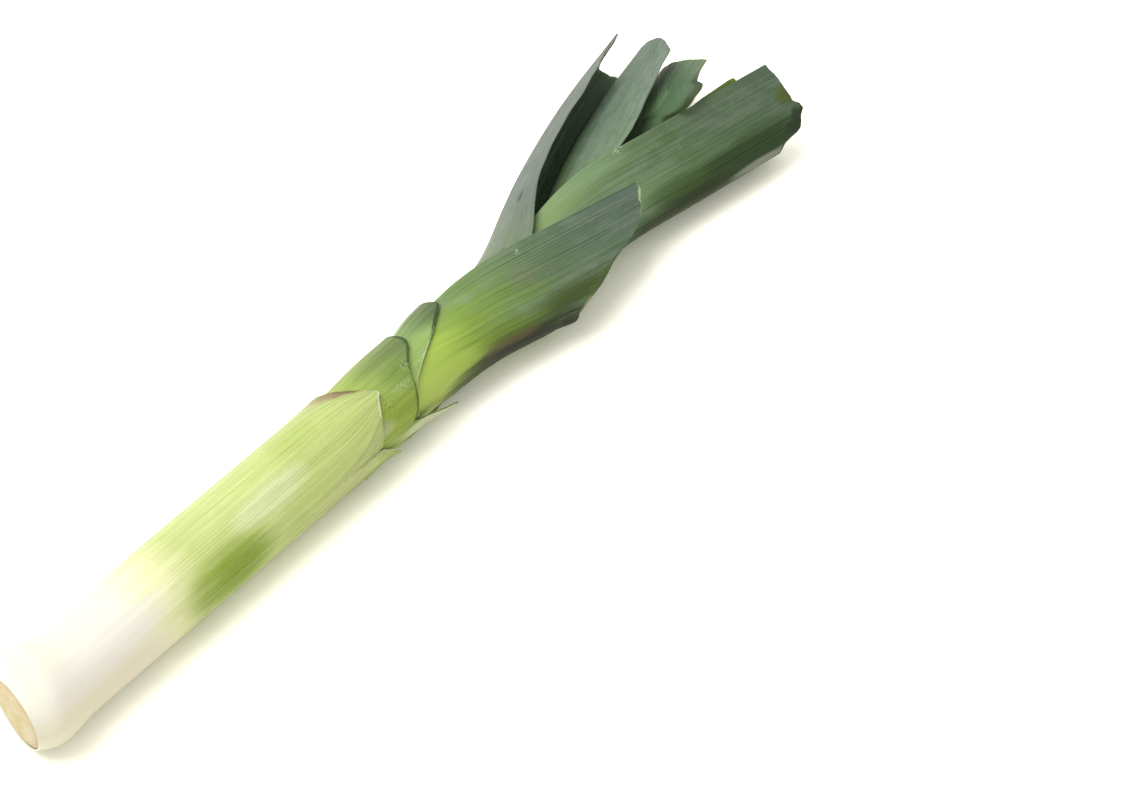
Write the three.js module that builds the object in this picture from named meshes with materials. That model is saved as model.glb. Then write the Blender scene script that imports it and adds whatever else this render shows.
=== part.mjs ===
// A trimmed leek lying on its side: a basal plate at the root end and nine leaves. Each leaf is one piece: a closed
// tubular sheath that wraps the younger leaves, and above its collar a keeled blade folded along its midrib. The
// blades stand in two ranks, left and right of the shaft, and open into a flat fan.
// Millimetres. +X runs from the root end to the leaf tips, +Z is up, and the leek rests on the plane z = 0.
import * as THREE from "three";

const { lerp, smoothstep, degToRad, clamp } = THREE.MathUtils;

// Shaft.
const SHAFT_RADIUS = 17;
const BULB = 2.6; // how much wider the bulb is than the shaft
const BULB_AT = 13;
const BULB_LENGTH = 10;
const ROOT_END = 4.4;
const ROOT_NARROWING = 3.9; // how much narrower the cut face is than the bulb, and where the narrowing begins
const ROOT_SHOULDER = 15;
const ROOT_SLANT = 0.19; // slope of the cut root face, which is a little higher up the shaft on the far side
const ROOT_SLANT_LENGTH = 30;
const NECK_START = 176; // where the sheaths begin to swell out of the oldest one
const NECK_END = 236;
const NECK_SWELL = 0.11; // as a share of their radius

// Wall layers, from the outside in: three thin old sheaths, then the thicker young ones.
const LAYER_GAP = 0.4;
const OLD_WALL = 0.8;
const YOUNG_WALL = 1.55;
const BLADE_WALL = 0.9;
const MARGIN_WALL = 0.6;
const PLATE_THICKNESS = 4;
const PLATE_DOME = 0.8;

// Mesh resolution. An odd number of segments a side puts a flat facet under the shaft, which it rests on.
const HALF_SEGMENTS = 9;
const BLADE_ROWS = 12;
const ROW_CROWDING = 1.4; // rows stand closer together near the collar
const FACET_DROP = Math.cos(Math.PI / 2 / HALF_SEGMENTS);
const INNER_START = ROOT_END + PLATE_THICKNESS + 2 * LAYER_GAP;
const TRIM_START = 165; // the last whole ring below the trimmed rims
const STATIONS = [ROOT_END, 6.5, INNER_START, 13, 18, 23, 30, 45, TRIM_START, 180, 195, 208];

// The trimmed leaves, outermost first. rim is the height of the cut rim at even steps round the shaft, from its
// underside round the far side and the top; bulge is how far the leaf stands off on the far side, and from and to
// are the heights between which it does.
const RIM_TOP = 60; // the angle of the list's middle, from the far side upwards
const BULGE_SIDE = 20; // the angle at which the leaves stand off most
const TRIMMED = [
  { name: "leaf_1", bulge: 0.3, from: 150, to: 190, rim: [172, 171, 168, 167, 171, 184, 176, 173, 172] },
  { name: "leaf_2", bulge: 1.4, from: 172, to: 216, rim: [192, 198, 204, 208, 209, 202, 195, 189.5, 192] },
  { name: "leaf_3", bulge: 2.7, from: 209, to: 243, rim: [214, 220, 226, 231, 231, 211, 197, 194, 214] },
];

// The bladed leaves. side is +1 for the far rank (+Y) and -1 for the near rank. collar is where the sheath opens;
// keel lists points that the midrib runs through; width is the upper and lower half of the blade, and taper the
// share of it left at the end; lean is the angle of each half from upright; open is the stretch, measured from the
// collar, over which the rolled leaf unfolds; cut is the end's offset along the blade, from the lower margin over
// the midrib to the upper margin.
const BLADED = [
  {
    name: "leaf_4", side: -1, collar: 204, open: [12, 72], taper: 0.88,
    keel: [[236, -16.3, 16.8], [262, -22, 15.2], [290, -27.5, 15], [318, -32, 15]],
    width: [37, 21.6], lean: [58, 82], keelRadius: 8, cut: [-46, -46, -44, -40, -20, -1, 2],
  },
  {
    name: "leaf_5", side: 1, collar: 214, open: [8, 96], taper: 0.68,
    keel: [
      [242, 13.9, 16.5], [268, 21.8, 13], [296, 34.8, 10.4], [314, 42.4, 9.6], [352, 54.5, 9.4], [399, 64.5, 9.8],
    ],
    width: [31, 34], lean: [33, 88], keelRadius: 4, cut: [-12, -14, -16, 0, -14, -28, -38],
  },
  {
    name: "leaf_6", side: -1, collar: 222, open: [22, 95], taper: 0.97,
    keel: [[255, -11, 16.8], [285, -13.2, 16], [319, -16, 14.7], [350, -20.5, 13], [408, -31, 13]],
    width: [34, 30], lean: [56, 76], keelRadius: 4,
    cut: [-14, -14, -14, -15, -16, -17, -17, -12, 0, -2, -4.6, -5.3, -6],
  },
  {
    name: "leaf_7", side: 1, collar: 230, open: [26.5, 104.5], taper: 0.82,
    keel: [[262, 8.9, 16.5], [290, 15, 14.8], [330, 32.5, 12.1], [362, 42, 12], [396, 49, 12]],
    width: [34.6, 28], lean: [52, 87], keelRadius: 4, cut: [-14, -12, -12, -10, -2, 0, -12],
  },
  {
    name: "leaf_8", side: -1, collar: 237, open: [27, 113], taper: 0.97,
    keel: [[268, -6.6, 17], [300, -8.5, 16.4], [351, -16, 14.3], [394, -24, 14]],
    width: [30.1, 24], lean: [58, 74], keelRadius: 4, cut: [-12, -10, -8, -4, -6, -6, -5],
  },
  {
    name: "leaf_9", side: 1, collar: 244, open: [53, 123], taper: 0.88,
    keel: [[275, 4.5, 17], [302, 6, 17], [345, 23, 14], [394, 34, 14]],
    width: [31.3, 22], lean: [52, 82], keelRadius: 4, cut: [-8, -8, -6, -4, -2, -3, -6],
  },
];
const NOTCH = 0.74; // how much of the rolled leaf's turn is left above the notch in its collar
const NOTCH_LENGTH = 34;
const ROLL_GROWTH = 0.6; // how much the roll widens as its midrib moves away from the shaft
const ROLL_GROWTH_MOST = 0.8;
const STRAIGHT_LENGTH = 12; // how far the midrib keeps the shaft's direction

const X = new THREE.Vector3(1, 0, 0);
const Y = new THREE.Vector3(0, 1, 0);
const Z = new THREE.Vector3(0, 0, 1);

// The outside radius of the whole shaft at a height along it.
function shaftRadius(x) {
  const bulb = BULB * Math.exp(-(((x - BULB_AT) / BULB_LENGTH) ** 2));
  return SHAFT_RADIUS + bulb - ROOT_NARROWING * (1 - smoothstep(x, ROOT_END, ROOT_SHOULDER));
}

// The outside radius of one layer. Layer 0 is the oldest leaf.
function sheathRadius(layer, x) {
  const old = Math.min(layer, TRIMMED.length);
  const depth = old * (OLD_WALL + LAYER_GAP) + (layer - old) * (YOUNG_WALL + LAYER_GAP);
  const swell = layer > 0 ? NECK_SWELL * smoothstep(x, NECK_START, NECK_END) : 0;
  return (shaftRadius(x) - depth) * (1 + swell);
}

// The shaft's centre line, which keeps the lowest facet on the ground.
function shaftCentre(x) {
  return new THREE.Vector3(x, 0, Math.max(shaftRadius(x), SHAFT_RADIUS) * FACET_DROP);
}

// Steps from the lower margin (-1) over the midrib (0) to the upper margin (+1).
function acrossSteps() {
  return Array.from({ length: 2 * HALF_SEGMENTS + 1 }, (_, j) => j / HALF_SEGMENTS - 1);
}

// A value from an evenly spaced list, read smoothly between its entries.
function readList(list, v) {
  const at = ((v + 1) / 2) * (list.length - 1);
  const low = Math.min(Math.floor(at), list.length - 2);
  return lerp(list[low], list[low + 1], smoothstep(at - low, 0, 1));
}

// A closed solid from rows of {outer, inner} points. Rows up to lastClosed are rings whose two ends meet.
// mirrored says that the steps run the other way round the shaft, which turns the faces round.
function shellGeometry(rows, lastClosed, mirrored) {
  const columns = 2 * HALF_SEGMENTS + 1;
  const points = rows.flatMap((row) => [...row.outer, ...row.inner]);
  const outer = (i, j) => i * 2 * columns + j;
  const inner = (i, j) => outer(i, j) + columns;
  const index = [];
  const quad = (a, b, c, d) => (mirrored ? index.push(a, b, c, a, c, d) : index.push(a, c, b, a, d, c));
  const end = rows.length - 1;
  for (let i = 0; i < end; i++) {
    for (let j = 0; j + 1 < columns; j++) {
      quad(outer(i, j), outer(i + 1, j), outer(i + 1, j + 1), outer(i, j + 1));
      quad(inner(i, j), inner(i, j + 1), inner(i + 1, j + 1), inner(i + 1, j));
    }
    if (i >= lastClosed) {
      const j = columns - 1;
      quad(outer(i, 0), inner(i, 0), inner(i + 1, 0), outer(i + 1, 0));
      quad(outer(i, j), outer(i + 1, j), inner(i + 1, j), inner(i, j));
    }
  }
  for (let j = 0; j + 1 < columns; j++) {
    quad(outer(0, j), outer(0, j + 1), inner(0, j + 1), inner(0, j));
    quad(outer(end, j), inner(end, j), inner(end, j + 1), outer(end, j + 1));
  }
  const geometry = new THREE.BufferGeometry().setFromPoints(points);
  geometry.setIndex(index);
  return geometry;
}

// The point at a radius and a direction from the shaft's centre line, moved along it where the root cut slants.
function shaftPoint(x, radius, direction) {
  const slant = ROOT_SLANT * (1 - smoothstep(x, ROOT_END, ROOT_SLANT_LENGTH));
  const point = shaftCentre(x).addScaledVector(direction, radius);
  point.x += slant * radius * direction.y;
  return point;
}

// One ring of a sheath, with its seam opposite the keel. outward is the keel's direction from the centre, and
// upward the direction of the upper half. along and radius may change from step to step.
function sheathRow(along, radius, wall, outward, upward) {
  const ring = (inset) =>
    acrossSteps().map((v) => {
      const angle = v * Math.PI;
      const direction = outward.clone().multiplyScalar(Math.cos(angle)).addScaledVector(upward, Math.sin(angle));
      return shaftPoint(along(v), radius(v) - inset, direction);
    });
  return { outer: ring(0), inner: ring(wall) };
}

function sheathRows(layer, last, wall, outward, upward) {
  const first = layer === 0 ? ROOT_END : INNER_START;
  const stations = STATIONS.filter((x) => x >= first && x <= last);
  return stations.map((x) => sheathRow(() => x, () => sheathRadius(layer, x), wall, outward, upward));
}

// How far a trimmed leaf stands off at a height and a step round the shaft.
function bulge(leaf, x, v) {
  const side = Math.cos(v * Math.PI + degToRad(RIM_TOP - BULGE_SIDE));
  const height = clamp((x - leaf.from) / (leaf.to - leaf.from), 0, 1);
  return leaf.bulge * Math.max(side, 0) ** 2 * Math.sin(height * Math.PI);
}

function trimmedLeaf(leaf, layer) {
  const outward = Y.clone().applyAxisAngle(X, degToRad(RIM_TOP));
  const upward = Z.clone().applyAxisAngle(X, degToRad(RIM_TOP));
  const rows = sheathRows(layer, TRIM_START, OLD_WALL, outward, upward);
  for (const share of [0.3, 0.55, 0.72, 0.86, 1]) {
    const along = (v) => lerp(TRIM_START, readList(leaf.rim, v), share);
    const radius = (v) => sheathRadius(layer, along(v)) + bulge(leaf, along(v), v);
    rows.push(sheathRow(along, radius, OLD_WALL, outward, upward));
  }
  return shellGeometry(rows, rows.length, false);
}

// The midrib from the collar to the end.
function midrib(leaf, layer) {
  const start = shaftCentre(leaf.collar).addScaledVector(Y, leaf.side * sheathRadius(layer, leaf.collar));
  return new THREE.CatmullRomCurve3([start, ...leaf.keel.map((p) => new THREE.Vector3(...p))]);
}

// One point across the blade, found by walking from the midrib along a curve that starts upright and leans inwards.
function bladePoint(curve, leaf, layer, along, v, inset) {
  const length = curve.getLength();
  const distance = along * length;
  const heading = curve.getTangentAt(clamp(along, 0, 1));
  heading.lerp(X, 1 - smoothstep(distance, 0, STRAIGHT_LENGTH)).normalize();
  const point = curve.getPointAt(clamp(along, 0, 1)).addScaledVector(heading, Math.max(distance - length, 0));
  const outward = new THREE.Vector3(-leaf.side * heading.y, leaf.side * heading.x, 0).normalize();
  const upward = new THREE.Vector3().crossVectors(heading, outward).multiplyScalar(leaf.side);

  const sheath = sheathRadius(layer, leaf.collar + distance);
  const radius = sheath + clamp((Math.abs(point.y) - sheath) * ROLL_GROWTH, 0, ROLL_GROWTH_MOST);
  const rolled = Math.PI * radius * lerp(1, NOTCH, smoothstep(distance, 0, NOTCH_LENGTH));
  const half = v > 0 ? 0 : 1;
  const spread = leaf.width[half] * lerp(1, leaf.taper, along ** 2);
  const lean = degToRad(leaf.lean[half]);
  const open = smoothstep(distance, ...leaf.open);
  const turned = (t) => lerp(t / radius, lean * (1 - Math.exp(-t / (leaf.keelRadius * lean))), open);
  const step = lerp(rolled, spread, open) / HALF_SEGMENTS;
  const steps = Math.round(Math.abs(v) * HALF_SEGMENTS);
  const sign = Math.sign(v);
  for (let k = 0; k < steps; k++) {
    const angle = turned((k + 0.5) * step);
    point.addScaledVector(upward, sign * step * Math.cos(angle)).addScaledVector(outward, -step * Math.sin(angle));
  }
  const angle = turned(steps * step);
  const normal = outward.multiplyScalar(Math.cos(angle)).addScaledVector(upward, sign * Math.sin(angle));
  return point.addScaledVector(normal, -inset);
}

function bladedLeaf(leaf, layer) {
  const outward = Y.clone().multiplyScalar(leaf.side);
  const rows = sheathRows(layer, leaf.collar - 5, YOUNG_WALL, outward, Z);
  const lastClosed = rows.length;
  const curve = midrib(leaf, layer);
  for (let i = 0; i <= BLADE_ROWS; i++) {
    const share = (i / BLADE_ROWS) ** ROW_CROWDING;
    const wall = lerp(YOUNG_WALL, BLADE_WALL, smoothstep(share, 0, 0.3));
    const thinning = smoothstep(share, 0, 0.2);
    const line = (inset) =>
      acrossSteps().map((v) => {
        const cut = (readList(leaf.cut, v) / curve.getLength()) * share ** 3;
        return bladePoint(curve, leaf, layer, share + cut, v, inset(v));
      });
    rows.push({ outer: line(() => 0), inner: line((v) => lerp(wall, MARGIN_WALL, thinning * v ** 8)) });
  }
  return shellGeometry(rows, lastClosed, leaf.side < 0);
}

// The basal plate: a disc inside the oldest sheath, with a slightly domed cut face that slants as the cut does.
function basalPlate() {
  const radius = shaftRadius(ROOT_END) - OLD_WALL - LAYER_GAP;
  const profile = [
    [0, -PLATE_DOME], [radius * 0.6, -PLATE_DOME * 0.75], [radius * 0.92, -PLATE_DOME * 0.1],
    [radius, 0.7], [radius, PLATE_THICKNESS], [0, PLATE_THICKNESS],
  ].map(([r, x]) => new THREE.Vector2(r, x));
  const geometry = new THREE.LatheGeometry(profile, 2 * HALF_SEGMENTS);
  geometry.rotateZ(-Math.PI / 2).rotateX(Math.PI / 2 / HALF_SEGMENTS);
  geometry.applyMatrix4(new THREE.Matrix4().makeShear(0, 0, ROOT_SLANT, 0, 0, 0));
  return geometry;
}

const green = new THREE.MeshStandardMaterial({ color: 0x5f7f52, roughness: 0.5, metalness: 0 });
const pale = new THREE.MeshStandardMaterial({ color: 0xe9efc8, roughness: 0.4, metalness: 0 });
const tan = new THREE.MeshStandardMaterial({ color: 0xd9c48f, roughness: 0.8, metalness: 0 });

const leek = new THREE.Group();
function addPiece(name, geometry, material) {
  const mesh = new THREE.Mesh(geometry, material.clone());
  mesh.name = name;
  leek.add(mesh);
  return mesh;
}

addPiece("root_plate", basalPlate(), tan).position.copy(shaftCentre(ROOT_END));
TRIMMED.forEach((leaf, i) => addPiece(leaf.name, trimmedLeaf(leaf, i), pale));
BLADED.forEach((leaf, i) => addPiece(leaf.name, bladedLeaf(leaf, i + TRIMMED.length), green));

// The origin is the middle of the box's underside.
const box = new THREE.Box3().setFromObject(leek);
const middle = box.getCenter(new THREE.Vector3());
leek.position.set(-middle.x, -middle.y, -box.min.z);

export default leek;
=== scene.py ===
import math

import bmesh
import bpy
import numpy as np
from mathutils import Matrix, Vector


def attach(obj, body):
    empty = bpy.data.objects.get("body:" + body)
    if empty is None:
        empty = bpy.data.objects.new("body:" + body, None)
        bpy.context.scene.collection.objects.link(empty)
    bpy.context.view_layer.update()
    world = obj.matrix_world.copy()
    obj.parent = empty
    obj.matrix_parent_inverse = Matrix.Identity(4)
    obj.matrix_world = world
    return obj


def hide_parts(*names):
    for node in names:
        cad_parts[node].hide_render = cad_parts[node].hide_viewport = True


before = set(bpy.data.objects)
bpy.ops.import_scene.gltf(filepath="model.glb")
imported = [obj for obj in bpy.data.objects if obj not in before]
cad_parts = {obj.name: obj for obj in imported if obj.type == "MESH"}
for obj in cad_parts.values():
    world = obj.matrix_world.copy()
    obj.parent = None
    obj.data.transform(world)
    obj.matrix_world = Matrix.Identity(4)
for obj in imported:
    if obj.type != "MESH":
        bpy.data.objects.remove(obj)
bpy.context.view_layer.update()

# Shapes are worked out in millimetres, with X = 0 near the root end and the shaft's middle at Y = 0. ORIGIN
# is the row frame's origin in those coordinates.
ORIGIN = np.array([205.475, 18.288, 0.0])
METRE = 1000
SEGMENTS = 9  # facets in half a turn of the solids' sheaths
SHARP_ANGLE = math.radians(50)
MERGE_DISTANCE = 1e-6  # in metres

SHAFT_RADIUS = 17
BULB, BULB_AT, BULB_LENGTH = 2.6, 13, 10
ROOT_END, ROOT_NARROWING, ROOT_SHOULDER = 4.4, 3.9, 15
ROOT_SLANT, ROOT_SLANT_LENGTH = 0.19, 30
NECK_START, NECK_END, NECK_SWELL = 176, 236, 0.11
LAYER_GAP, OLD_WALL, YOUNG_WALL, BLADE_WALL, MARGIN_WALL = 0.4, 0.8, 1.55, 0.9, 0.4
PLATE_THICKNESS, PLATE_DOME, PLATE_WEAR, PLATE_LAP = 4, 0.8, 0.7, 0.05
FACET_DROP = math.cos(math.pi / 2 / SEGMENTS)
INNER_START = ROOT_END + PLATE_THICKNESS + 2 * LAYER_GAP
BULB_TOP, TRIM_START = 45, 165
RIM_TOP, BULGE_SIDE = 60, 20
RIM_WALL, RIM_FLARE, RIM_FLARE_LENGTH = 0.45, 0.3, 2.5
LIP_BREADTH = 12
GATHER, GATHER_LENGTH = 0.6, 9
NOTCH, NOTCH_LENGTH = 0.74, 34
ROLL_GROWTH, ROLL_GROWTH_MOST = 0.6, 0.8
STRAIGHT_LENGTH, CURL_LENGTH = 12, 7
END_WALL, END_LENGTH = 0.5, 1.5
WAVE_LENGTHS, WAVE_HEIGHT, WAVE_SHIFT, WAVE_START, WAVE_FULL = (61, 37, 23), 0.5, 1.4, 60, 110
RIB_COUNTS, RIB_HEIGHT, RIB_START, RIB_FULL = (9, 17, 31), 0.1, 20, 60
RIB_DRIFT, RIB_DRIFT_LENGTH = 0.35, 40
COARSE_TEETH, FINE_TEETH, FINE_SIZE = 23, 71, 0.45
LOWER_JAG, LOWER_PART = 0.8, -0.2  # how much larger teeth are below this place across a blade
HALF_ROUND = math.pi * SHAFT_RADIUS
HALF_BLADE = 34

# How finely the pieces are made. Rows are counted over the bulb, over the shaft, and above it; steps go
# out from a blade's midrib, whose line has so many points a stretch and takes its direction over a short
# reach. The root's face has rings of the breadths that are listed.
TRIMMED_COLUMNS, TRIMMED_ROWS = 241, (22, 12, 50)
BLADE_STEPS, BLADE_ROWS, BLADE_ROW_SPACING = 48, (12, 14, 120), 1.1
MIDRIB_POINTS, MIDRIB_REACH = 60, 0.6
PLATE_SEGMENTS, PLATE_RINGS = 120, (0.6, 1.2, 2.4, 3.6, 3.0, 2.0)

FIRST_SEED = 20  # each leaf has the next seed for its random draws

# The trimmed leaves, outermost first. rim lists the cut rim's height at angles round the shaft (degrees,
# from its underside round the far side and the top to the near side); lips are tongues of the rim that
# stand off the shaft: angle, height of base and tip, and stand-off. gather is the angle that the veins
# near the rim run together at, from and to are the heights between which the leaf bulges, and jag is the
# size of its teeth.
TRIMMED = [
    {
        "name": "leaf_1", "bulge": 0.3, "from": 150, "to": 190, "jag": 0.12, "gather": 107,
        "rim": [
            (-120, 165), (-75, 168), (-30, 168), (15, 168), (48, 170.5), (60, 172.6), (72, 174.6),
            (84, 177.6), (96, 180.9), (105, 183.6), (108.5, 183.9), (113, 182.1), (126, 179.3),
            (137, 177.2), (147, 175.5), (159, 174.1), (167, 172.9), (169.4, 166.8), (171.5, 173),
            (182, 176.8), (191, 180.6), (194, 181), (197, 176.5), (200, 171), (206, 165), (240, 165),
        ],
        "lips": [(192, 174, 181, 1.5)],
    },
    {
        "name": "leaf_2", "bulge": 1.4, "from": 172, "to": 216, "jag": 0.22,
        "rim": [
            (-120, 192), (-75, 198), (-30, 204), (15, 208), (52, 208.6), (70, 208.9), (79, 208.2),
            (86, 206.6), (95, 203.9), (99, 202.6), (110, 199.9), (121, 197.9), (130, 197.6), (146, 195.8),
            (162, 193.6), (171, 190.6), (177, 194), (183, 202), (186.5, 210.5), (188.5, 211), (192, 202),
            (197, 193), (206, 189.5), (240, 192),
        ],
        "lips": [(187, 193, 210, 2.4)],
    },
    {
        "name": "leaf_3", "bulge": 2.7, "from": 209, "to": 243, "jag": 0.12,
        "rim": [
            (-120, 214), (-75, 220), (-30, 226), (15, 229), (40, 229.2), (52, 229.8), (60, 230.7),
            (65, 230.2), (71, 227.8), (81, 222.9), (92, 218), (103, 211.8), (114, 205.9), (126, 200.4),
            (144, 196), (162, 194.4), (200, 194), (240, 214),
        ],
        "lips": [],
    },
]

# The bladed leaves. side is 1 for the far rank and -1 for the near one, collar is where the sheath opens,
# open the stretch above the collar over which the blade unfolds, keel the points that its midrib runs
# through, taper the share of its width left at the end, lean how many degrees each half leans from
# upright, and fold the radius of the bend at the midrib. In width and lean the upper half of the blade
# comes first and then the lower. cut is the end's offset along the blade at places across it from the
# lower margin (-1) to the upper (1), and jag the size of its teeth; margin adds to the upper half's width
# at shares of the blade's length; curls bend the end over: place across, breadth and depth.
BLADED = [
    {
        "name": "leaf_4", "side": -1, "collar": 204, "open": (12, 72), "taper": 0.88,
        "keel": [(236, -16.3, 16.8), (262, -22, 15.2), (290, -27.5, 15), (318, -32, 15)],
        "width": (37, 21.6), "lean": (58, 82), "fold": 8, "jag": 0.7,
        "cut": [
            (-1, -48), (-0.6, -48), (-0.3, -48), (-0.1, -47), (0.02, -46), (0.1, -40), (0.2, -32),
            (0.34, -24), (0.42, -16.8), (0.5, -11), (0.6, -5.8), (0.72, -2.8), (0.84, -0.2), (0.93, 0.6),
            (1, -0.5),
        ],
        "margin": [(0, 0), (1, 0)], "curls": [(-0.05, 0.3, -1.5), (0.95, 0.12, -1.0)],
    },
    {
        "name": "leaf_5", "side": 1, "collar": 214, "open": (8, 96), "taper": 0.68,
        "keel": [(242, 13.9, 16.5), (268, 21.8, 13), (296, 34.8, 10.4), (314, 42.4, 9.6), (352, 54.5, 9.4),
                 (399, 64.5, 9.8)],
        "width": (31, 34), "lean": (33, 88), "fold": 4, "jag": 0.25,
        "cut": [
            (-1, -12), (-0.7, -13.5), (-0.4, -15.5), (-0.14, -17.5), (-0.07, -13), (-0.02, -1),
            (0.04, 0.6), (0.1, -1), (0.33, -11), (0.67, -27), (1, -38),
        ],
        "margin": [(0, 0), (0.25, 0), (0.36, -1.6), (0.46, -1), (0.56, 0), (1, 0)], "curls": [],
    },
    {
        "name": "leaf_6", "side": -1, "collar": 222, "open": (22, 95), "taper": 0.97,
        "keel": [(255, -11, 16.8), (285, -13.2, 16), (319, -16, 14.7), (350, -20.5, 13), (408, -31, 13)],
        "width": (34, 30), "lean": (56, 76), "fold": 4, "jag": 0.3,
        "cut": [
            (-1, -14), (-0.67, -14), (-0.33, -16), (-0.17, -18.5), (-0.05, -18), (0.03, -16.8),
            (0.07, -14.5), (0.11, -6.9), (0.15, -5.6), (0.22, -4), (0.26, -3.3), (0.33, -1), (0.4, -1.8),
            (0.46, -4), (0.67, -3.9), (0.83, -4.4), (1, -6),
        ],
        "margin": [(0, 0), (1, 0)], "curls": [(0.22, 0.14, 1.0)],
    },
    {
        "name": "leaf_7", "side": 1, "collar": 230, "open": (26.5, 104.5), "taper": 0.82,
        "keel": [(262, 8.9, 16.5), (290, 15, 14.8), (330, 32.5, 12.1), (362, 42.3, 12), (396, 50.2, 12)],
        "width": (34.6, 28), "lean": (52, 87), "fold": 4, "jag": 0.1,
        "cut": [
            (-1, -14), (-0.5, -12), (-0.2, -9), (0, -2.2), (0.25, 2.2), (0.5, 2.6), (0.65, 1.4),
            (0.8, -1.4), (1, -8.5),
        ],
        "margin": [
            (0, 0), (0.45, -0.8), (0.555, -0.4), (0.578, 2), (0.6, 3.5), (0.63, 4.5), (0.72, 3),
            (0.8, 1.4), (0.85, 0.4), (0.93, -1.6), (1, -5.5),
        ],
        "curls": [],
    },
    {
        "name": "leaf_8", "side": -1, "collar": 237, "open": (27, 113), "taper": 0.97,
        "keel": [(268, -6.6, 17), (300, -8.5, 16.4), (351, -16, 14.3), (394, -24, 14)],
        "width": (30.1, 24), "lean": (58, 74), "fold": 4, "jag": 0.4,
        "cut": [(-1, -12), (-0.67, -10), (-0.33, -8), (0, -4), (0.33, -6), (1, -5)],
        "margin": [(0, 0), (0.4, -1.5), (0.78, -1.6), (0.86, 0.2), (0.95, 1.5), (1, 1.2)], "curls": [],
    },
    {
        "name": "leaf_9", "side": 1, "collar": 244, "open": (53, 123), "taper": 0.88,
        "keel": [(275, 4.5, 17), (302, 6, 17), (345, 23, 14), (394, 35.6, 14)],
        "width": (31.3, 22), "lean": (52, 82), "fold": 4, "jag": 0.2,
        "cut": [
            (-1, -9), (-0.67, -9), (-0.33, -7), (0, -3.8), (0.33, -2.2), (0.67, -3.6), (0.9, -5.4),
            (1, -6.8),
        ],
        "margin": [
            (0, 0), (0.742, 0), (0.757, 8), (0.775, 10.6), (0.825, 11.6), (0.848, 10.6), (0.865, 5.8),
            (0.91, 4), (0.96, 3), (1, 2.4),
        ],
        "curls": [],
    },
]


def blend(a, b, t):
    return a + (b - a) * t


def ease(x, low, high):
    t = np.clip((np.asarray(x, float) - low) / (high - low), 0, 1)
    return t * t * (3 - 2 * t)


def shaft_radius(x):
    bulb = BULB * np.exp(-(((x - BULB_AT) / BULB_LENGTH) ** 2))
    return SHAFT_RADIUS + bulb - ROOT_NARROWING * (1 - ease(x, ROOT_END, ROOT_SHOULDER))


def sheath_radius(layer, x):
    old = min(layer, len(TRIMMED))
    depth = old * (OLD_WALL + LAYER_GAP) + (layer - old) * (YOUNG_WALL + LAYER_GAP)
    swell = NECK_SWELL * ease(x, NECK_START, NECK_END) if layer else 0
    return (shaft_radius(x) - depth) * (1 + swell)


# Points round the shaft at heights x and steps v of half a turn, from the direction keel (degrees).
def ring_points(x, radius, v, keel, side=1):
    angle = v * np.pi
    turn = math.radians(keel)
    y = side * np.cos(angle) * math.cos(turn) - np.sin(angle) * math.sin(turn)
    z = side * np.cos(angle) * math.sin(turn) + np.sin(angle) * math.cos(turn)
    slant = ROOT_SLANT * (1 - ease(x, ROOT_END, ROOT_SLANT_LENGTH))
    centre = np.maximum(shaft_radius(x), SHAFT_RADIUS) * FACET_DROP
    return np.stack([x + slant * radius * y, radius * y, np.maximum(centre + radius * z, 0)], -1)


# A smooth line through points, with its places and directions by distance along it.
class Midrib:
    def __init__(self, points):
        p = np.array(points, float)
        p = np.vstack([2 * p[0] - p[1], p, 2 * p[-1] - p[-2]])
        line = []
        for a, b, c, d in zip(p, p[1:], p[2:], p[3:]):
            before, here, after = (math.sqrt(np.linalg.norm(q - r)) for q, r in ((b, a), (c, b), (d, c)))
            start = here * ((b - a) / before - (c - a) / (before + here) + (c - b) / here)
            end = here * ((c - b) / here - (d - b) / (here + after) + (d - c) / after)
            t = np.linspace(0, 1, MIDRIB_POINTS, endpoint=False)[:, None]
            curve = (2 * t**3 - 3 * t**2 + 1) * b + (t**3 - 2 * t**2 + t) * start
            line.append(curve + (3 * t**2 - 2 * t**3) * c + (t**3 - t**2) * end)
        self.points = np.vstack(line + [p[-2][None]])
        steps = np.linalg.norm(np.diff(self.points, axis=0), axis=1)
        self.far = np.concatenate([[0], np.cumsum(steps)])
        self.length = self.far[-1]

    def at(self, distance):
        return np.stack([np.interp(distance, self.far, self.points[:, k]) for k in range(3)], -1)

    def heading(self, distance):
        inside = np.clip(distance, MIDRIB_REACH, self.length - MIDRIB_REACH)
        ahead = self.at(inside + MIDRIB_REACH) - self.at(inside - MIDRIB_REACH)
        return ahead / np.linalg.norm(ahead, axis=-1, keepdims=True)


# The unevenness of a grown leaf: long soft waves that grow towards the margins, and low lengthwise ribs.
def unevenness(along, v, seed, wave, ribs):
    rng = np.random.default_rng(seed)
    out = np.zeros_like(along)
    for length in WAVE_LENGTHS:
        phase = rng.uniform(0, 2 * np.pi, 2)
        shift = phase[0] + WAVE_SHIFT * np.sign(v) * phase[1]
        out += wave * np.abs(v) ** 3 * np.sin(along * 2 * np.pi / length + shift) / 3
    for count in RIB_COUNTS:
        phase = rng.uniform(0, 2 * np.pi)
        drift = RIB_DRIFT * np.sin(along / RIB_DRIFT_LENGTH + phase)
        out += ribs * np.sin(v * count * np.pi + phase + drift) / 3
    return out


# The teeth of a torn or knife-cut end, of uneven size.
def teeth(v, size, seed):
    rng = np.random.default_rng(seed)
    coarse, fine = (
        np.interp(v, np.linspace(-1, 1, count), rng.uniform(-1, 1, count))
        for count in (COARSE_TEETH, FINE_TEETH)
    )
    return size * (coarse + FINE_SIZE * fine)


# A new object in the scene, and one made from a bmesh, which is used up.
def placed(name, data):
    thing = bpy.data.objects.new(name, data)
    bpy.context.scene.collection.objects.link(thing)
    return thing


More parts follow.
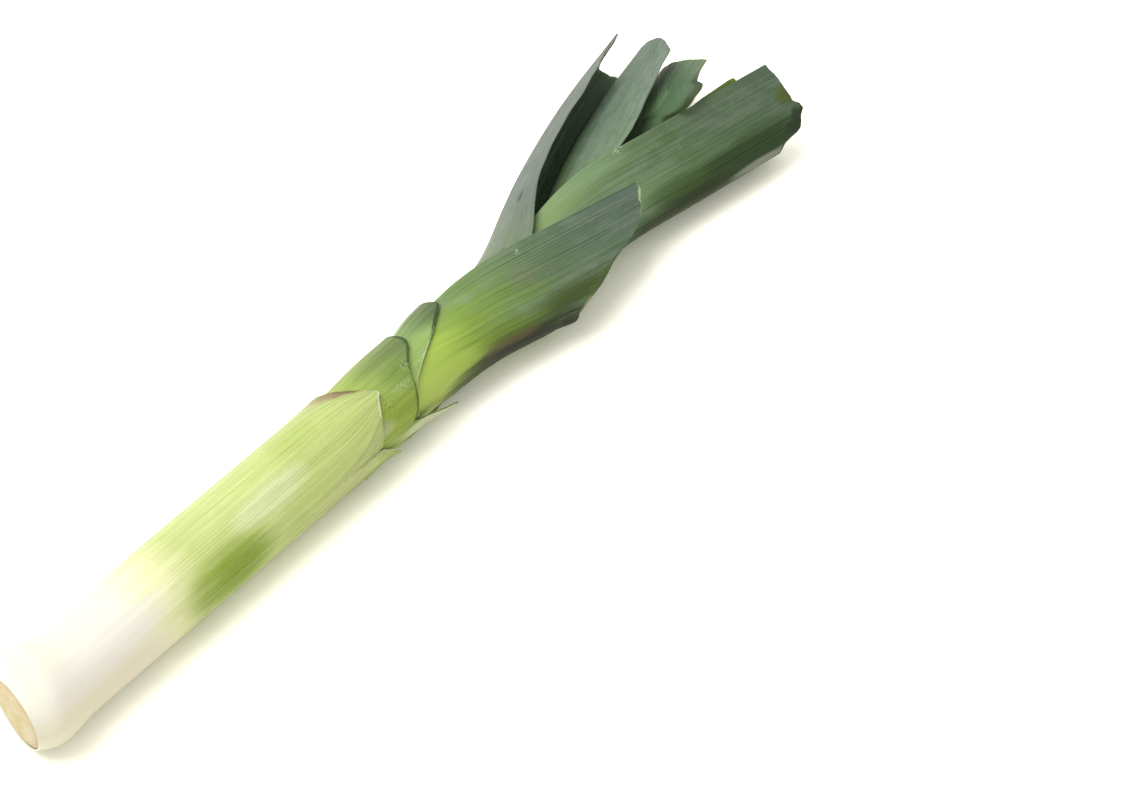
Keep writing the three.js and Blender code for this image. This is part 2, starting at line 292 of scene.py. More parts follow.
def meshed(name, shape):
    mesh = bpy.data.meshes.new(name)
    shape.to_mesh(mesh)
    shape.free()
    return placed(name, mesh)


# One leaf from a grid of points: rows run along it and columns from its lower to its upper margin. wall is
# its thickness in millimetres. grain holds the place along and across the leaf, and edge the distance from
# its cut end and from its nearer margin, in metres. finishes are its outer skin, inner skin and edge.
def leaf_piece(name, points, wall, grain, edge, finishes, flipped=False):
    rows, columns = points.shape[:2]
    place = (points - ORIGIN) / METRE
    shape = bmesh.new()
    maps = [(shape.loops.layers.uv.new("grain"), grain), (shape.loops.layers.uv.new("edge"), edge)]
    thickness = shape.verts.layers.deform.verify()
    bmesh.ops.create_grid(shape, x_segments=columns - 1, y_segments=rows - 1, size=1)
    spot = {}
    for vert in shape.verts:
        spot[vert] = (round((vert.co.y + 1) / 2 * (rows - 1)), round((vert.co.x + 1) / 2 * (columns - 1)))
    for face in shape.faces:
        face.smooth = True
        for loop in face.loops:
            for layer, table in maps:
                loop[layer].uv = table[spot[loop.vert]]
    for vert in shape.verts:
        vert[thickness][0] = float(wall[spot[vert]] / YOUNG_WALL)
        vert.co = place[spot[vert]]
    bmesh.ops.remove_doubles(shape, verts=shape.verts, dist=MERGE_DISTANCE)
    if flipped:
        bmesh.ops.reverse_faces(shape, faces=shape.faces)
    piece = meshed(name, shape)
    for finish in finishes:
        piece.data.materials.append(finish)
    piece.vertex_groups.new(name="wall")
    give = piece.modifiers.new("wall", "SOLIDIFY")
    give.thickness = YOUNG_WALL / METRE
    give.offset = -1
    give.vertex_group = "wall"
    give.material_offset = 1
    give.material_offset_rim = 2
    depsgraph = bpy.context.evaluated_depsgraph_get()
    piece.data = bpy.data.meshes.new_from_object(piece.evaluated_get(depsgraph))
    piece.modifiers.clear()
    piece.data.set_sharp_from_angle(angle=SHARP_ANGLE)
    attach(piece, "root")
    return piece


def trimmed_leaf(leaf, layer, seed, finishes):
    v = np.linspace(-1, 1, TRIMMED_COLUMNS)[None, :]
    turn = RIM_TOP + 180 * v
    rim = np.interp(turn, *zip(*leaf["rim"])) + teeth(v, leaf["jag"], seed)
    start = ROOT_END if layer == 0 else INNER_START
    bulb_rows, shaft_rows, top_rows = TRIMMED_ROWS
    bulb = np.linspace(start, BULB_TOP, bulb_rows)
    shaft = np.linspace(BULB_TOP + 5, TRIM_START - 5, shaft_rows)
    low = np.concatenate([bulb, shaft])[:, None]
    share = np.linspace(0, 1, top_rows)[:, None]
    x = np.vstack([np.broadcast_to(low, (len(low), v.shape[1])), blend(TRIM_START, rim, share)])
    v = np.broadcast_to(v, x.shape)
    side = np.maximum(np.cos(v * np.pi + math.radians(RIM_TOP - BULGE_SIDE)), 0) ** 2
    height = np.clip((x - leaf["from"]) / (leaf["to"] - leaf["from"]), 0, 1)
    radius = sheath_radius(layer, x) + leaf["bulge"] * side * np.sin(height * np.pi)
    radius = radius + RIM_FLARE * np.exp(-(rim - x) / RIM_FLARE_LENGTH)
    for angle, base, tip, stand in leaf["lips"]:
        radius = radius + stand * ease(x, base, tip) * np.exp(-(((turn - angle) / LIP_BREADTH) ** 2))
    radius = radius + unevenness(x, v, seed, 0, RIB_HEIGHT) * ease(x, RIB_START, RIB_FULL)
    points = ring_points(x, radius, v, RIM_TOP)
    wall = blend(RIM_WALL, OLD_WALL, ease(rim - x, 0, 2))
    across = v * HALF_ROUND
    if "gather" in leaf:
        middle = math.radians(leaf["gather"] - RIM_TOP) * SHAFT_RADIUS
        across = middle + (across - middle) / (1 - GATHER * np.exp(-(rim - x) / GATHER_LENGTH))
    grain = np.stack([x, across], -1) / METRE
    edge = np.stack([rim - x, (1 - np.abs(v)) * HALF_ROUND], -1) / METRE
    return leaf_piece(leaf["name"] + "_fine", points, wall, grain, edge, finishes)


def bladed_leaf(leaf, layer, seed, finishes):
    side, collar = leaf["side"], leaf["collar"]
    v = np.linspace(-1, 1, 2 * BLADE_STEPS + 1)[None, :]
    bulb_rows, shaft_rows, blade_rows = BLADE_ROWS
    bulb = np.linspace(INNER_START, BULB_TOP, bulb_rows)
    shaft = np.linspace(BULB_TOP + 15, collar - 5, shaft_rows)
    low = np.concatenate([bulb, shaft])[:, None]
    low = np.broadcast_to(low, (len(low), v.shape[1]))
    sheath = ring_points(low, sheath_radius(layer, low), np.broadcast_to(v, low.shape), 0, side)

    rib = Midrib([(collar, side * sheath_radius(layer, collar), SHAFT_RADIUS * FACET_DROP)] + leaf["keel"])
    share = np.linspace(0, 1, blade_rows)[:, None] ** BLADE_ROW_SPACING
    ragged = leaf["jag"] * (1 + LOWER_JAG * (v < LOWER_PART))
    cut = (np.interp(v, *zip(*leaf["cut"])) + teeth(v, ragged, seed)) / rib.length
    along = share + cut * share**2
    distance = along * rib.length
    v = np.broadcast_to(v, distance.shape)
    end = rib.length * (1 + cut) - distance
    straight = (1 - ease(distance, 0, STRAIGHT_LENGTH))[..., None]
    heading = blend(rib.heading(distance), np.array([1.0, 0, 0]), straight)
    heading /= np.linalg.norm(heading, axis=-1, keepdims=True)
    past_end = np.maximum(distance - rib.length, 0)[..., None]
    point = rib.at(np.clip(distance, 0, rib.length)) + heading * past_end
    outward = np.stack([-side * heading[..., 1], side * heading[..., 0], 0 * distance], -1)
    outward /= np.linalg.norm(outward, axis=-1, keepdims=True)
    upward = side * np.cross(heading, outward)

    roll = sheath_radius(layer, collar + distance)
    radius = roll + np.clip((np.abs(point[..., 1]) - roll) * ROLL_GROWTH, 0, ROLL_GROWTH_MOST)
    rolled = np.pi * radius * blend(1, NOTCH, ease(distance, 0, NOTCH_LENGTH))
    spread = np.where(v > 0, *leaf["width"]) * blend(1, leaf["taper"], along**2)
    spread = spread + (v > 0) * np.interp(along, *zip(*leaf["margin"]))
    lean = np.radians(np.where(v > 0, *leaf["lean"]))
    opened = ease(distance, *leaf["open"])
    step = blend(rolled, spread, opened) / BLADE_STEPS

    # How far the blade has turned from the midrib at a distance t out from it.
    def turned(t):
        return blend(t / radius, lean * (1 - np.exp(-t / (leaf["fold"] * lean))), opened)

    count = np.round(np.abs(v) * BLADE_STEPS)
    for k in range(BLADE_STEPS):
        angle = turned((k + 0.5) * step)
        move = (np.sign(v) * np.cos(angle))[..., None] * upward - np.sin(angle)[..., None] * outward
        point = point + np.where((count > k)[..., None], move * step[..., None], 0)
    angle = turned(count * step)
    normal = np.cos(angle)[..., None] * outward + (np.sign(v) * np.sin(angle))[..., None] * upward
    lift = unevenness(distance + collar, v, seed, WAVE_HEIGHT, RIB_HEIGHT)
    lift *= ease(distance, WAVE_START, WAVE_FULL)
    for place, breadth, depth in leaf["curls"]:
        lift = lift - depth * np.exp(-(((v - place) / breadth) ** 2)) * ease(end, CURL_LENGTH, 0)
    point = point + normal * lift[..., None]

    points = np.concatenate([sheath, point])
    wall = blend(YOUNG_WALL, BLADE_WALL, ease(share, 0, 0.3))
    wall = blend(wall, MARGIN_WALL, ease(share, 0, 0.2) * np.abs(v) ** 8)
    wall = blend(END_WALL, wall, ease(end, 0, END_LENGTH))
    wall = np.concatenate([np.full(low.shape, YOUNG_WALL), wall])
    height = np.concatenate([low, collar + distance])
    v = np.concatenate([np.broadcast_to(v[0], low.shape), v])
    end = np.concatenate([np.full(low.shape, rib.length), end])
    grain = np.stack([height, v * HALF_BLADE], -1) / METRE
    edge = np.stack([end, (1 - np.abs(v)) * HALF_BLADE], -1) / METRE
    points[..., 2] = np.maximum(points[..., 2], 0)
    return leaf_piece(leaf["name"] + "_fine", points, wall, grain, edge, finishes, side < 0)


# The basal plate: a flat cut face with a soft dome, worn round its rim.
def root_face(finish):
    radius = float(shaft_radius(ROOT_END)) - OLD_WALL + PLATE_LAP
    depth = PLATE_THICKNESS - PLATE_WEAR
    shape = bmesh.new()
    bmesh.ops.create_cone(
        shape, cap_ends=True, segments=PLATE_SEGMENTS, radius1=radius, radius2=radius, depth=depth
    )
    for breadth in PLATE_RINGS:
        outward = (face for face in shape.faces if face.normal.z < -0.9)
        face = min(outward, key=lambda face: face.calc_center_median().length_squared)
        bmesh.ops.inset_region(shape, faces=[face], thickness=breadth, depth=0)
    for vert in shape.verts:
        far = vert.co.xy.length / radius
        if vert.co.z < 0:
            vert.co.z -= PLATE_DOME + PLATE_WEAR - (0.5 * far**2 + far**8)
        x = ROOT_END + PLATE_THICKNESS / 2 + PLATE_WEAR / 2 + vert.co.z
        y, z = vert.co.x, vert.co.y
        centre = SHAFT_RADIUS * FACET_DROP
        vert.co = (np.array([x + ROOT_SLANT * y, y, centre + z]) - ORIGIN) / METRE
    shape.normal_update()
    bmesh.ops.recalc_face_normals(shape, faces=shape.faces)
    for face in shape.faces:
        face.smooth = True
    piece = meshed("root_face", shape)
    piece.data.set_sharp_from_angle(angle=SHARP_ANGLE)
    piece.data.materials.append(finish)
    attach(piece, "root")
    return piece


# Colours are as they look under the studio light, which is bright: a skin gives back REFLECTANCE of its
# own colour.
REFLECTANCE = 0.5
RAMP_TOP = 420  # the height in millimetres where every ramp of colours ends
WAX = (168, 180, 174)
WHITE, CREAM, LIME = (255, 255, 234), (253, 253, 200), (220, 232, 150)
CORK, CORK_BLOT, CORK_GRIT = (238, 226, 190), (228, 206, 150), (196, 170, 120)
CORK_RING, CORK_RIM = (200, 176, 126), (206, 182, 132)
SKIN_SPECULAR, SKIN_RELIEF, CUT_RELIEF = 0.14, 0.00022, 0.0003
# What streaks, mottling, veins and fine veins multiply a skin's colour by, and what pale veins add to it.
STREAK_SHADE, MOTTLE_SHADE = (0.5, 0.6, 0.45, 1), (0.66, 0.76, 0.56, 1)
VEIN_SHADE, FINE_VEIN_SHADE, PALE_VEIN = (0.42, 0.5, 0.36, 1), (0.46, 0.54, 0.4, 1), (0.3, 0.32, 0.22, 1)


def tint(colour):
    def linear(c):
        c /= 255
        return c / 12.92 if c <= 0.04045 else ((c + 0.055) / 1.055) ** 2.4

    return (*(REFLECTANCE * linear(c) for c in colour), 1)


# A material in the making: a Principled shader, and short ways to build the nodes that feed it.
class Finish:
    def __init__(self, name, rough=0.5):
        self.material = bpy.data.materials.new(name)
        self.material.use_nodes = True
        self.tree = self.material.node_tree
        self.tree.nodes.clear()
        out = self.node("ShaderNodeOutputMaterial")
        self.shader = self.node("ShaderNodeBsdfPrincipled")
        self.shader.inputs["Roughness"].default_value = rough
        self.tree.links.new(self.shader.outputs[0], out.inputs["Surface"])

    def node(self, kind, **settings):
        node = self.tree.nodes.new(kind)
        for key, value in settings.items():
            setattr(node, key, value)
        return node

    def put(self, socket, value):
        if isinstance(value, bpy.types.NodeSocket):
            self.tree.links.new(value, socket)
        else:
            socket.default_value = value

    def calc(self, operation, a, b=0.0):
        node = self.node("ShaderNodeMath", operation=operation)
        self.put(node.inputs[0], a)
        self.put(node.inputs[1], b)
        return node.outputs[0]

    def times(self, *values):
        total = values[0]
        for value in values[1:]:
            total = self.calc("MULTIPLY", total, value)
        return total

    def plus(self, *values):
        total = values[0]
        for value in values[1:]:
            total = self.calc("ADD", total, value)
        return total

    # 0 to 1 while value goes from low to high.
    def step(self, value, low, high):
        node = self.node("ShaderNodeMapRange", interpolation_type="SMOOTHSTEP")
        self.put(node.inputs[0], value)
        self.put(node.inputs[1], low)
        self.put(node.inputs[2], high)
        return node.outputs[0]

    def mix(self, amount, a, b, mode="MIX"):
        node = self.node("ShaderNodeMix", data_type="RGBA", blend_type=mode)
        self.put(node.inputs[0], amount)
        self.put(node.inputs[6], a)
        self.put(node.inputs[7], b)
        return node.outputs[2]

    # A map that a leaf carries, and the two parts of it.
    def map(self, name):
        node = self.node("ShaderNodeUVMap", uv_map=name)
        parts = self.node("ShaderNodeSeparateXYZ")
        self.put(parts.inputs[0], node.outputs[0])
        return node.outputs[0], parts.outputs[0], parts.outputs[1]

    def stretched(self, vector, scale, shift=0.0):
        node = self.node("ShaderNodeMapping")
        self.put(node.inputs["Vector"], vector)
        node.inputs["Scale"].default_value = (*scale, 1)
        node.inputs["Location"].default_value = (shift, shift * 1.7, 0)
        return node.outputs[0]

    # Noise on a leaf's own map, with so many cells a metre along and across the leaf.
    def streak(self, grain, scale, seed=0.0, detail=3.0, roughness=0.5):
        node = self.node("ShaderNodeTexNoise", noise_dimensions="2D")
        self.put(node.inputs["Vector"], self.stretched(grain, scale, seed * 7.3))
        node.inputs["Scale"].default_value = 1
        node.inputs["Detail"].default_value = detail
        node.inputs["Roughness"].default_value = roughness
        return node.outputs[0]

    # Lengthwise veins about spacing millimetres apart: 1 on a vein and 0 between veins.
    def veins(self, grain, across, spacing, seed=0.0):
        wander = self.streak(grain, (4, 70), seed + 1, 2)
        cycles = self.plus(self.times(across, METRE / spacing), self.times(wander, 2.6))
        line = self.step(self.calc("SINE", self.times(cycles, 2 * math.pi)), 0.5, 0.98)
        return self.times(line, self.step(self.streak(grain, (16, 620), seed + 2, 2), 0.34, 0.66))

    # A soft-edged spot on a leaf, roughened by noise: 1 in its middle.
    def spot(self, along, across, place, size, rough):
        a = self.times(self.plus(along, -place[0] / METRE), METRE / size[0])
        b = self.times(self.plus(across, -place[1] / METRE), METRE / size[1])
        return self.step(self.plus(self.times(a, a), self.times(b, b), rough), 1.2, 0.1)

    def ramp(self, value, stops):
        node = self.node("ShaderNodeValToRGB")
        self.put(node.inputs[0], value)
        while len(node.color_ramp.elements) < len(stops):
            node.color_ramp.elements.new(1)
        for element, (place, colour) in zip(node.color_ramp.elements, stops):
            element.position = place
            element.color = colour
        return node.outputs[0]

    def bump(self, height, distance):
        node = self.node("ShaderNodeBump")
        node.inputs["Distance"].default_value = distance
        self.put(node.inputs["Height"], height)
        self.put(self.shader.inputs["Normal"], node.outputs[0])


# A leaf's skin.
#   colours   (height in millimetres, colour) from the root up
#   tilt      how much lower the colours lie for each millimetre towards the upper margin
#   veins     (spacing in millimetres, strength of the dark lines, strength of the light lines)
#   fade      the heights between which the streaks and veins come in
#   bloom     strength of the grey wax
#   patches   (height, place across, half length, half breadth, colour, strength)
#   specks    the same for patches of fine specks
#   strips    the same beside the cut end: (depth, place across, half breadth, colour, strength)
#   feather   how far the colours run into each other along the streaks, in metres
def leaf_skin(name, colours, tilt=0.0, veins=(1.6, 0.2, 0.15), fade=(0, 1), bloom=0.0, patches=(),
              specks=(), strips=(), feather=0.03, rough=0.45, seed=0.0):
    f = Finish(name)
    spacing, dark, light = veins
    grain, along, across = f.map("grain")
    end = f.map("edge")[1]
    streaks = f.streak(grain, (9, 420), seed, 4, 0.62)
    broad = f.streak(grain, (14, 90), seed + 3)
    mottle = f.streak(grain, (110, 190), seed + 5, 4, 0.6)
    ragged = f.streak(grain, (330, 520), seed + 6, 4, 0.7)
    shifted = f.plus(along, f.times(across, tilt), f.times(f.calc("SUBTRACT", broad, 0.5), feather * 1.2))
    shifted = f.plus(shifted, f.times(f.calc("SUBTRACT", streaks, 0.5), feather))
    stops = [(height / RAMP_TOP, tint(colour)) for height, colour in colours]
    base = f.ramp(f.times(shifted, METRE / RAMP_TOP), stops)
    if bloom:
        waxed = f.step(f.plus(along, f.times(across, 2)), 0.25, 0.285)
        haze = f.times(f.step(mottle, 0.3, 0.7), f.step(broad, 0.3, 0.62), waxed, bloom)
        base = f.mix(haze, base, tint(WAX))
    rough_edge = f.times(f.plus(broad, streaks, -1.0), 0.9)
    for height, place, length, breadth, colour, strength in patches:
        spot = f.spot(along, across, (height, place), (length, breadth), rough_edge)
        base = f.mix(f.times(spot, strength), base, tint(colour))
    veined = f.step(along, fade[0] / METRE, fade[1] / METRE)
    base = f.mix(f.times(f.step(streaks, 0.42, 0.66), veined, dark * 0.5), base, STREAK_SHADE, "MULTIPLY")
    base = f.mix(f.times(f.step(mottle, 0.42, 0.72), veined, 0.14), base, MOTTLE_SHADE, "MULTIPLY")
    lines = f.veins(grain, across, spacing, seed)
    fine = f.veins(grain, across, spacing * 0.47, seed + 4)
    base = f.mix(f.times(lines, veined, dark), base, VEIN_SHADE, "MULTIPLY")
    base = f.mix(f.times(fine, veined, dark * 0.6), base, FINE_VEIN_SHADE, "MULTIPLY")
    pale = f.times(f.veins(grain, across, spacing * 0.63, seed + 9), veined, light)
    base = f.mix(pale, base, PALE_VEIN, "SCREEN")
    grit = f.step(f.streak(grain, (900, 1500), seed + 12, 2), 0.56, 0.64)
    for height, place, length, breadth, colour, strength in specks:
        spot = f.spot(along, across, (height, place), (length, breadth), rough_edge)
        base = f.mix(f.times(spot, grit, strength), base, tint(colour))
    for depth, place, breadth, colour, strength in strips:
        a = f.times(end, METRE / depth)
        b = f.times(f.plus(across, -place / METRE), METRE / breadth)
        far = f.plus(f.times(a, a), f.times(b, b), f.times(f.calc("SUBTRACT", ragged, 0.5), 1.6))
        base = f.mix(f.times(f.step(far, 1.15, 0.4), strength), base, tint(colour))
    f.put(f.shader.inputs["Base Color"], base)
    f.put(f.shader.inputs["Roughness"], f.plus(f.times(streaks, 0.25), rough - 0.12))
    f.shader.inputs["Specular IOR Level"].default_value = SKIN_SPECULAR
    relief = f.plus(f.times(f.plus(lines, fine), veined, -0.4), f.times(streaks, 0.5), f.times(mottle, 0.3))
    f.bump(f.plus(relief, f.times(ragged, 0.12)), SKIN_RELIEF)
    return f.material


# The edge of a leaf's wall: the margin's colour, and at the cut end moist flesh with dry spots.
def leaf_edge(name, margin_colour, colour, dry, seed=0.0):
    f = Finish(name, 0.6)
    grain, end = f.map("grain")[0], f.map("edge")[1]
    spots = f.streak(grain, (420, 520), seed, 4, 0.65)
    flesh = f.mix(f.step(spots, 0.46, 0.68), tint(colour), tint(dry))
    margin = f.mix(f.step(spots, 0.5, 0.7), tint(margin_colour), tint(colour))
    f.put(f.shader.inputs["Base Color"], f.mix(f.step(end, 0.0012, 0.0004), margin, flesh))
    f.bump(spots, CUT_RELIEF)
    return f.material


# The root's cut face: corky and beige, with faint growth rings and a darker rim.
def root_skin():
    f = Finish("root_corky_face", 0.75)
    place = f.node("ShaderNodeTexCoord").outputs["Object"]
    centre = (Vector((ROOT_END, 0, SHAFT_RADIUS * FACET_DROP)) - Vector(ORIGIN)) / METRE
    middle = f.node("ShaderNodeMapping")
    f.put(middle.inputs["Vector"], place)
    middle.inputs["Location"].default_value = -centre
    parts = f.node("ShaderNodeSeparateXYZ")
    f.put(parts.inputs[0], middle.outputs[0])
    y, z = parts.outputs[1], parts.outputs[2]
    far = f.calc("SQRT", f.plus(f.times(y, y), f.times(z, z)))

    def noise(scale, detail, roughness):
        node = f.node("ShaderNodeTexNoise")
        f.put(node.inputs["Vector"], place)
        node.inputs["Scale"].default_value = scale
        node.inputs["Detail"].default_value = detail
        node.inputs["Roughness"].default_value = roughness
        return node.outputs[0]

    grit = noise(scale=900, detail=5, roughness=0.65)
    blot = noise(scale=150, detail=3, roughness=0.55)
    ring = f.calc("SINE", f.plus(f.times(far, 3600), f.times(blot, 5)))
    base = f.mix(f.step(blot, 0.3, 0.7), tint(CORK), tint(CORK_BLOT))
    base = f.mix(f.times(f.step(grit, 0.52, 0.72), 0.3), base, tint(CORK_GRIT))
    base = f.mix(f.times(f.step(ring, 0.2, 1.0), 0.1), base, tint(CORK_RING))
    base = f.mix(f.times(f.step(far, 0.0095, 0.0142), 0.3), base, tint(CORK_RIM))
    f.put(f.shader.inputs["Base Color"], base)
    f.bump(f.plus(f.times(ring, 0.1), grit), CUT_RELIEF)
    return f.material


pale_inside = leaf_skin(
    "pale_inner_skin",
    colours=[(0, WHITE), (110, CREAM), (200, (190, 206, 120)), (420, (140, 166, 84))],
    seed=4.0,
)
dark_inside = leaf_skin(
    "dark_inner_skin",
    colours=[
        (0, WHITE), (150, LIME), (230, (130, 160, 90)), (290, (88, 118, 80)), (420, (82, 112, 86)),
    ],
    veins=(2.0, 0.3, 0.1), rough=0.4, seed=5.0,
)
SKINS = {
    "leaf_1": dict(
        colours=[
            (0, WHITE), (52, WHITE), (68, CREAM), (84, (214, 227, 143)), (106, LIME),
            (140, (212, 226, 138)), (184, (198, 214, 128)),
        ],
        veins=(1.25, 0.2, 0.5), fade=(48, 92), feather=0.014, rough=0.38, seed=1.0,
        patches=[
            (34, 36, 36, 15, (248, 238, 212), 0.9), (34, 21, 36, 10, (255, 249, 243), 0.7),
            (96, 31.5, 25, 12.5, (154, 180, 54), 1.0), (101, 29, 14, 8, (144, 172, 46), 0.7),
            (124, 17.5, 21, 6.5, (248, 254, 216), 0.42), (147, 5, 14, 7, (186, 206, 104), 0.5),
            (128, 36, 12, 6, (190, 206, 116), 0.5), (160, 38, 30, 8, (200, 206, 144), 0.6),
        ],
        strips=[(10.0, -13, 15, (196, 186, 134), 0.75), (5.4, -10, 13, (172, 150, 112), 0.8),
                (1.8, -8, 11, (138, 112, 82), 0.6), (1.0, 22, 14, (240, 244, 214), 0.8)],
    ),
    "leaf_2": dict(
        colours=[
            (0, WHITE), (140, LIME), (168, (186, 206, 104)), (188, (161, 185, 93)), (204, (122, 148, 78)),
            (214, (106, 130, 76)),
        ],
        veins=(1.2, 0.16, 0.12), feather=0.02, seed=2.0,
        patches=[
            (184, 26, 22, 9, (160, 180, 58), 0.7), (196, 2, 16, 8, (128, 140, 88), 0.4),
            (176, 27, 8, 4, (204, 212, 166), 0.6), (200, 38.5, 16, 4, (224, 228, 186), 0.95),
            (196, 12, 10, 5, (116, 150, 58), 0.4),
        ],
        specks=[
            (201, 12, 6, 2.6, (206, 216, 180), 0.6), (193, 18, 6, 3, (206, 216, 180), 0.6),
            (184, 20, 6, 4, (92, 112, 56), 0.5),
        ],
        strips=[(1.5, 6, 12, (56, 80, 32), 0.8), (1.3, 28, 13, (74, 100, 36), 0.7)],
    ),
    "leaf_3": dict(
        colours=[
            (0, WHITE), (160, LIME), (196, (160, 188, 100)), (213, (152, 180, 108)),
            (224, (112, 136, 84)), (232, (88, 107, 70)),
        ],
        veins=(1.3, 0.14, 0.1), bloom=0.15, feather=0.02, seed=3.0,
        patches=[(208, 10, 10, 6, (160, 192, 106), 0.7)],
        specks=[(214, 14, 10, 3, (206, 218, 184), 0.7)],
        # The dark strip 1.8 mm deep at place 5 across is painted shadow under the lifted, curled rim on
        # top.
        strips=[(1.8, 5, 7, (52, 70, 38), 0.9), (1.0, 16, 9, (196, 210, 168), 0.5)],
    ),
    "leaf_4": dict(
        colours=[
            (0, WHITE), (150, LIME), (190, (194, 212, 108)), (216, (184, 208, 98)), (232, (174, 200, 88)),
            (247, (138, 168, 70)), (264, (120, 148, 82)), (284, (106, 130, 94)), (340, (93, 113, 98)),
        ],
        tilt=1.0, veins=(2.2, 0.54, 0.05), fade=(200, 268), bloom=0.26, seed=6.0,
        patches=[
            (275, 8.4, 26, 5, (76, 96, 34), 0.9), (246, 7, 20, 4, (116, 142, 48), 0.7),
            # The dark patches at 226 and 256 below the midrib are painted shade on the lower half, which
            # folds under and is turned from the light.
            (226, -8, 26, 10, (76, 94, 30), 0.9), (256, -4.5, 46, 13, (30, 38, 4), 1.0),
            (243, 3.4, 15, 2.6, (104, 92, 56), 0.7), (259, 23, 8, 4, (126, 132, 112), 0.4),
        ],
        specks=[(262, 21, 15, 5, (152, 144, 130), 0.32), (282, 13, 12, 4, (126, 128, 92), 0.5),
                (261, 31, 1.8, 1.0, (200, 206, 186), 0.9)],
        strips=[(1.2, 29, 4, (190, 200, 156), 0.85), (0.8, 24, 4, (166, 176, 132), 0.4),
                (2.0, 3.5, 2.5, (176, 164, 112), 0.7), (4.0, 9, 6, (78, 96, 50), 0.75)],
    ),
    "leaf_5": dict(
        colours=[
            (0, WHITE), (150, LIME), (214, (170, 188, 128)), (250, (130, 147, 114)),
            (300, (99, 112, 105)), (410, (94, 106, 102)),
        ],
        veins=(1.7, 0.14, 0.1), bloom=0.2, rough=0.5, seed=7.0,
        patches=[(294.4, 21.7, 4.2, 2.2, (58, 68, 56), 0.95), (262, 22, 3, 1.4, (88, 100, 82), 0.6)],
    ),
    "leaf_6": dict(
        colours=[
            (0, WHITE), (170, LIME), (240, (176, 200, 116)), (284, (149, 175, 118)),
            (322, (124, 153, 106)), (345, (104, 130, 90)), (362, (94, 118, 83)), (420, (86, 106, 84)),
        ],
        tilt=0.35, veins=(2.2, 0.46, 0.05), fade=(250, 345), bloom=0.18, seed=8.0,
        patches=[
            (350.5, 27.3, 6, 3.2, (82, 108, 50), 0.6), (354, 17.3, 7, 3.6, (76, 104, 44), 0.35),
            # The dark patches at 372, 341 and 336 near the midrib are painted shade on the leaf's lower
            # side, turned from the light.
            (388, 12, 16, 4, (62, 86, 48), 0.55), (372, 5, 46, 7.5, (38, 60, 22), 0.87),
            (341, 8.5, 18, 5, (66, 92, 42), 0.75), (336, -1, 40, 8, (46, 60, 26), 0.95),
            (382, 0.4, 17, 2.3, (148, 154, 138), 0.9), (404, 19, 5.5, 4.2, (84, 100, 26), 0.8),
            (298, 31, 24, 5, (142, 172, 104), 0.45), (312, 31.5, 20, 4, (150, 178, 140), 0.5),
        ],
        specks=[(327.6, 33.4, 3, 2, (214, 218, 190), 0.9), (345, 24, 20, 6, (84, 110, 50), 0.5)],
        # The dark strip 9 mm deep at place 7.5 across is painted shade on the corner that curls down.
        strips=[(9.0, 7.5, 6.5, (42, 56, 32), 0.88), (0.9, 4, 24, (62, 76, 42), 0.8)],
    ),
    "leaf_7": dict(
        colours=[
            (0, WHITE), (180, LIME), (262, (158, 186, 116)), (306, (126, 152, 108)),
            (350, (114, 138, 112)), (410, (94, 116, 100)),
        ],
        veins=(1.7, 0.16, 0.08), bloom=0.3, rough=0.5, seed=9.0,
    ),
    "leaf_8": dict(
        colours=[
            (0, WHITE), (200, LIME), (280, (130, 158, 80)), (340, (96, 124, 54)), (400, (100, 124, 50)),
        ],
        veins=(1.9, 0.3, 0.1), seed=10.0, strips=[(2.4, 30, 30, (128, 134, 60), 0.7)],
    ),
    "leaf_9": dict(
        colours=[
            (0, WHITE), (200, LIME), (290, (116, 148, 84)), (345, (88, 120, 78)), (400, (86, 114, 88)),
        ],
        veins=(1.8, 0.22, 0.1), bloom=0.1, seed=11.0, strips=[(1.0, 30, 30, (120, 132, 62), 0.6)],
        # The light patches at 375 and 368 near the midrib are painted light that lifts leaf 7's shadow on
        # this leaf.
        patches=[(375, 4, 40, 7, (104, 136, 94), 0.7), (368, 12, 26, 7, (140, 178, 130), 0.7),
                 (367, 34.5, 21, 5.8, (30, 56, 0), 1.0), (392, 33, 8, 5, (84, 108, 40), 0.6)],
    ),
}
# The colours of each leaf's edge: its margin, moist flesh and dry spots.
EDGES = {
    "leaf_1": ((250, 246, 228), (232, 236, 204), (170, 154, 114)),
    "leaf_2": ((150, 170, 90), (98, 116, 60), (44, 48, 24)),
    "leaf_3": ((150, 170, 100), (116, 134, 78), (62, 70, 40)),
    "leaf_4": ((110, 130, 86), (118, 132, 88), (92, 90, 56)),
    "leaf_5": ((140, 152, 134), (122, 132, 110), (92, 88, 62)),
    "leaf_6": ((106, 128, 80), (84, 98, 52), (56, 56, 32)),
    "leaf_7": ((124, 144, 116), (110, 128, 98), (90, 88, 58)),
    "leaf_8": ((122, 140, 68), (120, 130, 62), (80, 76, 40)),
    "leaf_9": ((104, 128, 60), (110, 126, 64), (80, 78, 42)),
}

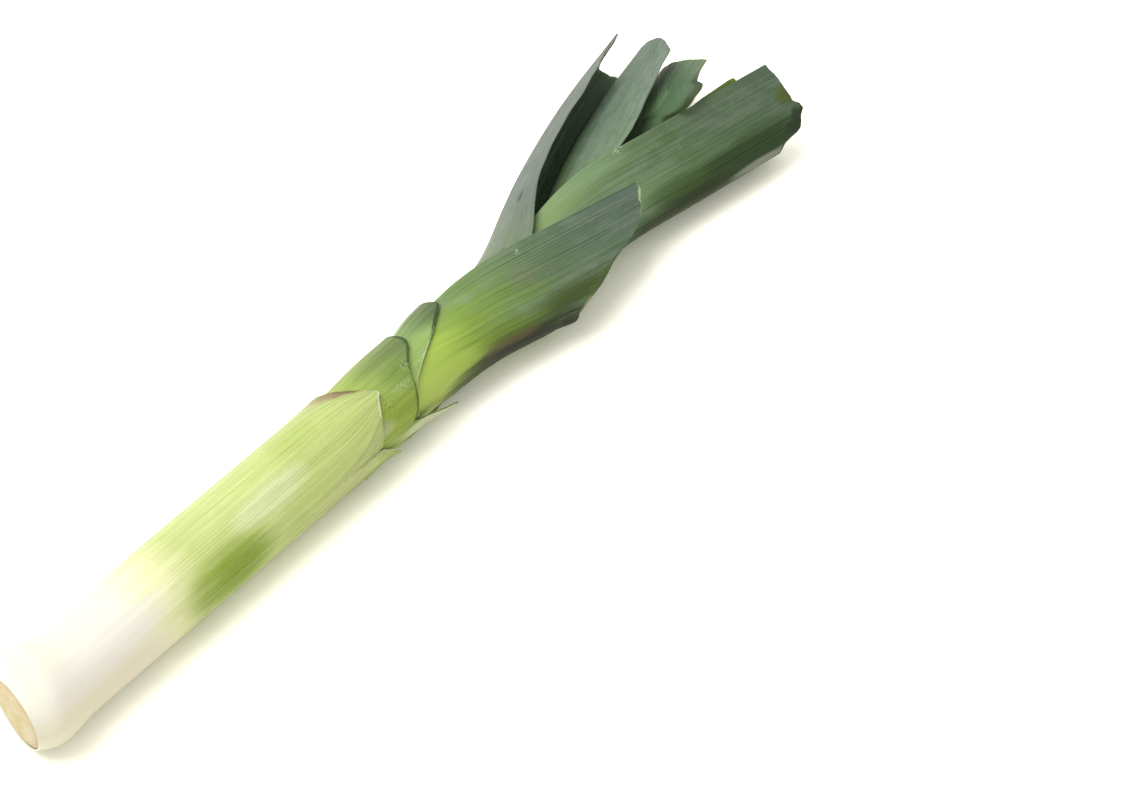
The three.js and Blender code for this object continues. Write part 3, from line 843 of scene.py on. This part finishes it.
for layer, leaf in enumerate(TRIMMED + BLADED):
    name = leaf["name"]
    finishes = (
        leaf_skin(name + "_skin", **SKINS[name]),
        pale_inside if layer < len(TRIMMED) else dark_inside,
        leaf_edge(name + "_edge", *EDGES[name], layer),
    )
    make = trimmed_leaf if layer < len(TRIMMED) else bladed_leaf
    piece = make(leaf, layer, FIRST_SEED + layer, finishes)
    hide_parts(name)
plate = root_face(root_skin())
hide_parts("root_plate")

# Floor, light and camera.
FLOOR_SIZE, FLOOR_COLOUR = 6, (0.95, 0.94, 0.85, 1)
SKY_COLOUR, SKY_STRENGTH = (1, 0.985, 0.94, 1), 1.15
SENSOR_WIDTH = 36
FOCAL_LENGTH, FRAME_WIDTH = 3733, 1130  # in the same unit
CAMERA_DISTANCE = 1.4
TARGET_X, TARGET_Y = 246.3, -40.6

shape = bmesh.new()
bmesh.ops.create_grid(shape, x_segments=1, y_segments=1, size=FLOOR_SIZE)
floor = meshed("floor", shape)
paper = Finish("studio_floor", 0.9)
paper.shader.inputs["Base Color"].default_value = FLOOR_COLOUR
floor.data.materials.append(paper.material)

world = bpy.data.worlds.new("studio")
world.use_nodes = True
sky = world.node_tree.nodes["Background"]
sky.inputs["Color"].default_value = SKY_COLOUR
sky.inputs["Strength"].default_value = SKY_STRENGTH
bpy.context.scene.world = world


def soft_light(name, place, size, power):
    light = bpy.data.lights.new(name, "AREA")
    light.size = size
    light.energy = power
    lamp = placed(name, light)
    lamp.location = place
    lamp.rotation_mode = "QUATERNION"
    lamp.rotation_quaternion = (-Vector(place)).to_track_quat("-Z", "Y")


soft_light("key", place=(-0.5, 0.66, 1.85), size=1.7, power=58)

camera_data = bpy.data.cameras.new("camera")
camera_data.sensor_width = SENSOR_WIDTH
camera_data.lens = FOCAL_LENGTH / FRAME_WIDTH * SENSOR_WIDTH
camera = placed("camera", camera_data)
azimuth, elevation = math.radians(-49), math.radians(50)
level = math.cos(elevation)
back = Vector((math.sin(azimuth) * level, -math.cos(azimuth) * level, math.sin(elevation)))
target = Vector((TARGET_X - ORIGIN[0], TARGET_Y - ORIGIN[1], 0)) / METRE
camera.location = target + back * CAMERA_DISTANCE
camera.rotation_mode = "QUATERNION"
camera.rotation_quaternion = back.to_track_quat("Z", "Y")
bpy.context.scene.camera = camera
bpy.context.scene.view_settings.view_transform = "Standard"
